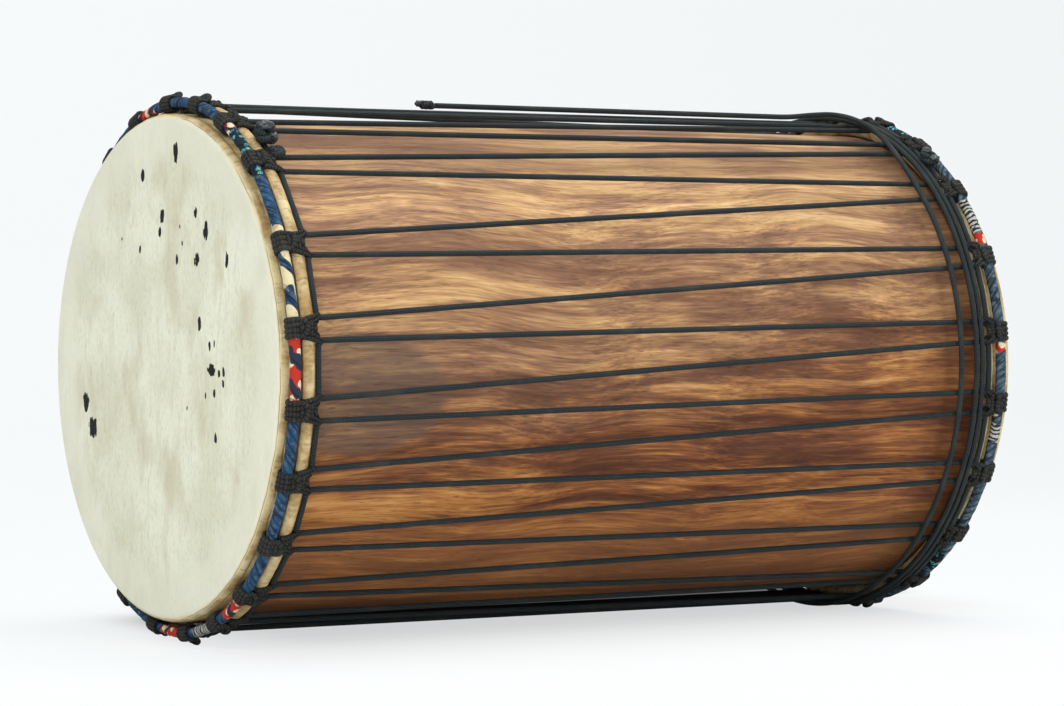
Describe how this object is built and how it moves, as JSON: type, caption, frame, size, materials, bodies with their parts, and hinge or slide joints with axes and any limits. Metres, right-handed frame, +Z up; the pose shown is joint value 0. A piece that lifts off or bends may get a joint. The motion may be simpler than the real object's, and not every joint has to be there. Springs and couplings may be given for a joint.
{
  "type": "dunun",
  "caption": "Cylindrical wooden bass drum lying on its side, with a hide head on each end drawn tight by rope laced through loops hitched on cloth-wound steel hoops.",
  "frame": {"origin": "middle of the drum along and across, at its lowest point, where the lowest ring loops touch the ground", "axes": "X along the drum from the front head at -X to the back head at +X, +Z up, and the side seen in the picture faces -Y"},
  "size_m": [0.6846, 0.4294, 0.4304],
  "materials": {
    "shell_wood": "oiled satin hardwood",
    "hide": "dry rawhide",
    "ring_steel": "plain drawn rod",
    "ring_cloth": "printed cotton strip",
    "rope": "braided static rope"
  },
  "bodies": {
    "root": {"shell": "shell_wood", "front_head": "hide", "back_head": "hide", "front_flesh_ring": "ring_steel", "back_flesh_ring": "ring_steel", "front_crown_ring": "ring_steel", "back_crown_ring": "ring_steel", "front_ring_cloth": "ring_cloth", "back_ring_cloth": "ring_cloth", "lacing": "rope", "tail_winding": "rope", "joint_knot": "rope", "winding_knot": "rope", "top_knot": "rope", "front_loop_01": "rope", "front_loop_02": "rope", "front_loop_03": "rope", "front_loop_04": "rope", "front_loop_05": "rope", "front_loop_06": "rope", "front_loop_07": "rope", "front_loop_08": "rope", "front_loop_09": "rope", "front_loop_10": "rope", "front_loop_11": "rope", "front_loop_12": "rope", "front_loop_13": "rope", "front_loop_14": "rope", "front_loop_15": "rope", "front_loop_16": "rope", "front_loop_17": "rope", "front_loop_18": "rope", "front_loop_19": "rope", "front_loop_20": "rope", "front_loop_21": "rope", "front_loop_22": "rope", "back_loop_01": "rope", "back_loop_02": "rope", "back_loop_03": "rope", "back_loop_04": "rope", "back_loop_05": "rope", "back_loop_06": "rope", "back_loop_07": "rope", "back_loop_08": "rope", "back_loop_09": "rope", "back_loop_10": "rope", "back_loop_11": "rope", "back_loop_12": "rope", "back_loop_13": "rope", "back_loop_14": "rope", "back_loop_15": "rope", "back_loop_16": "rope", "back_loop_17": "rope", "back_loop_18": "rope", "back_loop_19": "rope", "back_loop_20": "rope", "back_loop_21": "rope", "back_loop_22": "rope"}
  },
  "joints": []
}
